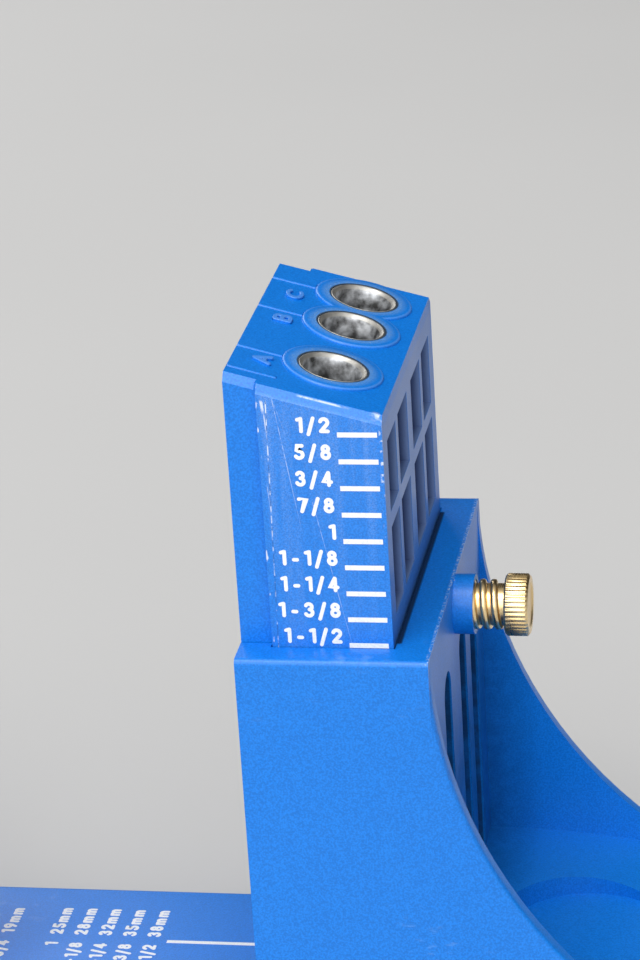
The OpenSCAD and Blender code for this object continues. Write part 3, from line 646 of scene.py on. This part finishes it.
tree.links.new(ramp(tree, noise(tree, 160, 4), (0.3, (0.82, 0.585, 0.27)), (0.7, (0.96, 0.755, 0.43))),
               surface.inputs["Base Color"])
surface.inputs["Metallic"].default_value = 1
tree.links.new(remap(tree, turned, 0.3, 0.7, 0.22, 0.36), surface.inputs["Roughness"])
bump(tree, surface, turned, 0.03 * MM, 0.25)
screw.data.materials.append(brass)
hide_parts("lock_screw")
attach(screw, "lock")

# Clamp brackets. Two folded cheeks of 3 mm zinc-plated sheet, pierced and bolted to the block.
# The plating has a cool sheen with faint cloudy patches.
zinc, tree, surface = shader("zinc_steel")
cloud = noise(tree, 90, 6)
tree.links.new(ramp(tree, cloud, (0.3, (0.50, 0.51, 0.53)), (0.7, (0.66, 0.67, 0.68))),
               surface.inputs["Base Color"])
surface.inputs["Metallic"].default_value = 1
tree.links.new(remap(tree, cloud, 0.3, 0.7, 0.26, 0.42), surface.inputs["Roughness"])
bump(tree, surface, noise(tree, 900, 4), 0.03 * MM, 0.2)
for node in ("bracket_near", "bracket_far"):
    bracket = softened(node, 0.35 * MM)
    bracket.data.materials.append(zinc)
    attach(bracket, "base")

# Rod guide and rivets. A sawn steel block between the cheeks, riveted through, with the handle's
# pivot and its stop as two more rivets; all bare steel with an oily dark finish.
dark, tree, surface = shader("dark_steel")
oil = noise(tree, 140, 5)
tree.links.new(ramp(tree, oil, (0.3, (0.16, 0.16, 0.165)), (0.7, (0.28, 0.28, 0.285))),
               surface.inputs["Base Color"])
surface.inputs["Metallic"].default_value = 1
tree.links.new(remap(tree, oil, 0.3, 0.7, 0.30, 0.48), surface.inputs["Roughness"])
bump(tree, surface, noise(tree, 1200, 4), 0.03 * MM, 0.25)
for node in ("rod_guide", "guide_rivets", "handle_pivot", "stop_rivet"):
    part = softened(node, 0.4 * MM)
    part.data.materials.append(dark)
    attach(part, "base")

# Clamp bolts. Four hexagon bolts with plain washers through the flanges, and nuts in hexagon
# pockets under the base, so that the clamp can be taken off.
for node, finish, slot in (("bracket_washers", zinc, "zinc_steel"), ("bracket_bolts", dark, "dark_steel"),
                           ("bracket_nuts", zinc, "zinc_steel")):
    part = softened(node, 0.25 * MM)
    part.data.materials.append(finish)
    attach(part, "base")

# Handle. Two pressed steel cheeks joined by a welded web, turning on the pivot rivet,
# with the crank pin pressed through both.
for node, finish, slot in (("handle_lever", zinc, "zinc_steel"), ("crank_pin", dark, "dark_steel")):
    part = softened(node, 0.35 * MM)
    part.data.materials.append(finish)
    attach(part, "handle")

# Handle grip. A black moulded sleeve pushed over the lever, rounded at its end, with raised
# bands across it that keep a hand from slipping.
handle_joint = next(joint for joint in frame["joints"] if joint["name"] == "handle_swing")
lean = math.radians(10)
lever_axis = Matrix.Translation(handle_joint["pos_m"]) @ Matrix.Rotation(lean, 4, "Y")
grip_from = 26
grip_to = 103.5
half_x = 11.5
half_y = 13.3
corner = 5
corner_steps = 32
band_from = 33
band_pitch = 6
band_width = 3.6
band_rise = 0.35
band_flank = 0.6
band_count = 10
levels = [(grip_from, -0.6), (grip_from + 0.4, 0)]
for k in range(band_count):
    start = band_from + band_pitch * k
    end = start + band_width
    levels += [(start, 0), (start + band_flank, band_rise), (end - band_flank, band_rise), (end, 0)]
levels += [(grip_to - 5, 0), (grip_to - 3, -0.5), (grip_to - 1.5, -1.4), (grip_to - 0.5, -2.8),
           (grip_to, -4.6)]
bm = bmesh.new()
rings = []
for at, swell in levels:
    ring = []
    for i in range(corner_steps):
        turn = 2 * math.pi * (i + 0.5) / corner_steps
        across = math.copysign(half_x - corner, math.cos(turn)) + (corner + swell) * math.cos(turn)
        aside = math.copysign(half_y - corner, math.sin(turn)) + (corner + swell) * math.sin(turn)
        ring.append(bm.verts.new(lever_axis @ (Vector((across, aside, at)) * MM)))
    rings.append(ring)
skin(bm, rings)
grip = settle(bm, "banded_grip")
vinyl, tree, surface = shader("black_plastic")
grain = noise(tree, 1600, 4)
tree.links.new(ramp(tree, grain, (0.3, (0.016, 0.016, 0.018)), (0.7, (0.035, 0.035, 0.037))),
               surface.inputs["Base Color"])
tree.links.new(remap(tree, grain, 0.3, 0.7, 0.38, 0.55), surface.inputs["Roughness"])
bump(tree, surface, grain, 0.05 * MM, 0.3)
grip.data.materials.append(vinyl)
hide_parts("handle_grip")
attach(grip, "handle")

# Toggle links. Two stamped zinc-plated plates on the crank pin, with the pin that drives the rod.
# They come into line with the crank when the clamp locks.
for node, finish, slot in (("link_near", zinc, "zinc_steel"), ("link_far", zinc, "zinc_steel"),
                           ("link_pin", dark, "dark_steel")):
    part = softened(node, 0.3 * MM)
    part.data.materials.append(finish)
    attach(part, "link")

# Push rod and lock nut. A ground steel bar, milled flat at its tail and tapped for the spindle,
# with a thin hexagon nut that locks the spindle's setting.
for node, break_edge, finish, slot in (("push_rod", 0.04 * MM, zinc, "zinc_steel"),
                                       ("lock_nut", 0.35 * MM, dark, "dark_steel")):
    part = softened(node, break_edge)
    part.data.materials.append(finish)
    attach(part, "rod")

# Pad spindle. Zinc-plated screwed rod with a flange that carries the pad.
# It is turned in or out for the thickness of the board.
pad_low, pad_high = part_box("clamp_pad")
rod_height = (pad_low.z + pad_high.z) / 2
spindle_low, spindle_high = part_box("pad_spindle")
tail = spindle_low.x
flange_front = spindle_high.x
flange_back = flange_front - 2.5 * MM
flange = 9 * MM
spindle_crest = 5 * MM
spindle_root = 4.25 * MM
spindle_pitch = 1.5 * MM
bm = bmesh.new()
thread(bm, tail + 1.5 * MM, flange_back - 1.2 * MM, spindle_crest, spindle_root, spindle_pitch,
       rod_height, steps=24)
rod_axis = Matrix.Translation((0, 0, rod_height)) @ Matrix.Rotation(math.pi / 2, 4, "Y")
lathe(bm, [(0, tail), (3.6 * MM, tail), (spindle_root, tail + 0.7 * MM), (spindle_root, flange_back),
           (flange - 0.2 * MM, flange_back), (flange, flange_back + 0.2 * MM), (flange, flange_front),
           (0, flange_front)], rod_axis, steps=48)
spindle = settle(bm, "threaded_spindle")
spindle.data.materials.append(zinc)
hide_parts("pad_spindle")
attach(spindle, "pad")

# Clamp pad. A soft black rubber disc moulded on the spindle's flange, with shallow
# rings in its face that grip the board without marking it.
pad_profile = ((0, 0.5), (2.6, 0.5), (3, 0.1), (5.2, 0.1), (5.6, 0.7), (6.4, 0.7), (6.8, 0.1), (8.6, 0.1),
               (9, 0.7), (9.8, 0.7), (10.2, 0), (11.6, 0), (12.2, 0.2), (13.3, 1.3), (13.5, 1.9),
               (13.5, 7.4), (13.1, 8), (9.05, 8), (9.05, 5.5), (0, 5.5))
bm = bmesh.new()
lathe(bm, [(r * MM, pad_high.x - behind * MM) for r, behind in pad_profile], rod_axis, steps=64)
pad = settle(bm, "ringed_pad")
rubber, tree, surface = shader("black_rubber")
dusty = noise(tree, 220, 6)
tree.links.new(ramp(tree, dusty, (0.3, (0.014, 0.014, 0.014)), (0.75, (0.05, 0.048, 0.045))),
               surface.inputs["Base Color"])
tree.links.new(remap(tree, dusty, 0.3, 0.7, 0.62, 0.8), surface.inputs["Roughness"])
bump(tree, surface, noise(tree, 1800, 3), 0.06 * MM, 0.3)
pad.data.materials.append(rubber)
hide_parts("clamp_pad")
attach(pad, "pad")

# Floor, light and camera. A pale plain studio floor under four soft lights and a soft sky
# that dims to the far side and the right, with the camera where the photograph was taken from.
floor_half = 6
sky_tint = (1, 0.995, 0.985, 1)
azimuth, elevation, roll = math.radians(10.667), math.radians(22.253), math.radians(-3.603)
camera_at = (0.123604, -0.597769, 0.376750)
sensor = 36
focal_length = 127.5
bm = bmesh.new()
bmesh.ops.create_grid(bm, x_segments=1, y_segments=1, size=floor_half)
floor = settle(bm, "floor")
paper, tree, surface = shader("paper")
tree.links.new(ramp(tree, noise(tree, 3, 2), (0.3, (0.60, 0.598, 0.595)), (0.7, (0.62, 0.618, 0.615))),
               surface.inputs["Base Color"])
surface.inputs["Roughness"].default_value = 0.9
floor.data.materials.append(paper)

world = bpy.data.worlds.new("studio")
world.use_nodes = True
tree = world.node_tree
coordinates = tree.nodes.new("ShaderNodeTexCoord")
split = tree.nodes.new("ShaderNodeSeparateXYZ")
tree.links.new(coordinates.outputs["Generated"], split.inputs["Vector"])
sky = product(tree, remap(tree, split.outputs["Y"], -0.7, 0.4, 1.27, 0.03),
              remap(tree, split.outputs["X"], 0.1, 0.8, 1, 0.5))
tree.links.new(sky, tree.nodes["Background"].inputs["Strength"])
tree.nodes["Background"].inputs["Color"].default_value = sky_tint
bpy.context.scene.world = world


def softbox(name, at, target, size, power):
    lamp = bpy.data.lights.new(name, "AREA")
    lamp.shape = "SQUARE"
    lamp.size = size
    lamp.energy = power
    holder = bpy.data.objects.new(name, lamp)
    holder.location = at
    holder.rotation_mode = "QUATERNION"
    holder.rotation_quaternion = (Vector(target) - Vector(at)).to_track_quat("-Z", "Y")
    bpy.context.scene.collection.objects.link(holder)


softbox("window", (0, -1.2, 1.0), (0, 0, 0.08), 1.2, 7.2)
softbox("skylight", (-0.1, -0.5, 1.35), (0, 0, 0.1), 0.6, 7)
softbox("ceiling", (0.1, 0.1, 1.7), (0.1, 0.1, 0), 2.0, 4)
softbox("far_window", (-0.56, 1.02, 0.76), (-0.05, 0, 0.02), 0.5, 2.8)

ahead = Vector((-math.sin(azimuth) * math.cos(elevation), math.cos(azimuth) * math.cos(elevation),
                -math.sin(elevation)))
level = ahead.cross(Vector((0, 0, 1))).normalized()
upright = level.cross(ahead)
right = math.cos(roll) * level + math.sin(roll) * upright
up = -math.sin(roll) * level + math.cos(roll) * upright
lens = bpy.data.cameras.new("camera")
lens.sensor_fit = "VERTICAL"
lens.sensor_width = sensor
lens.sensor_height = sensor
lens.lens = focal_length
lens.clip_start = 0.01
camera = bpy.data.objects.new("camera", lens)
camera.matrix_world = Matrix((right, up, -ahead)).transposed().to_4x4()
camera.location = camera_at
bpy.context.scene.collection.objects.link(camera)
bpy.context.scene.camera = camera
bpy.context.scene.view_settings.view_transform = "Standard"
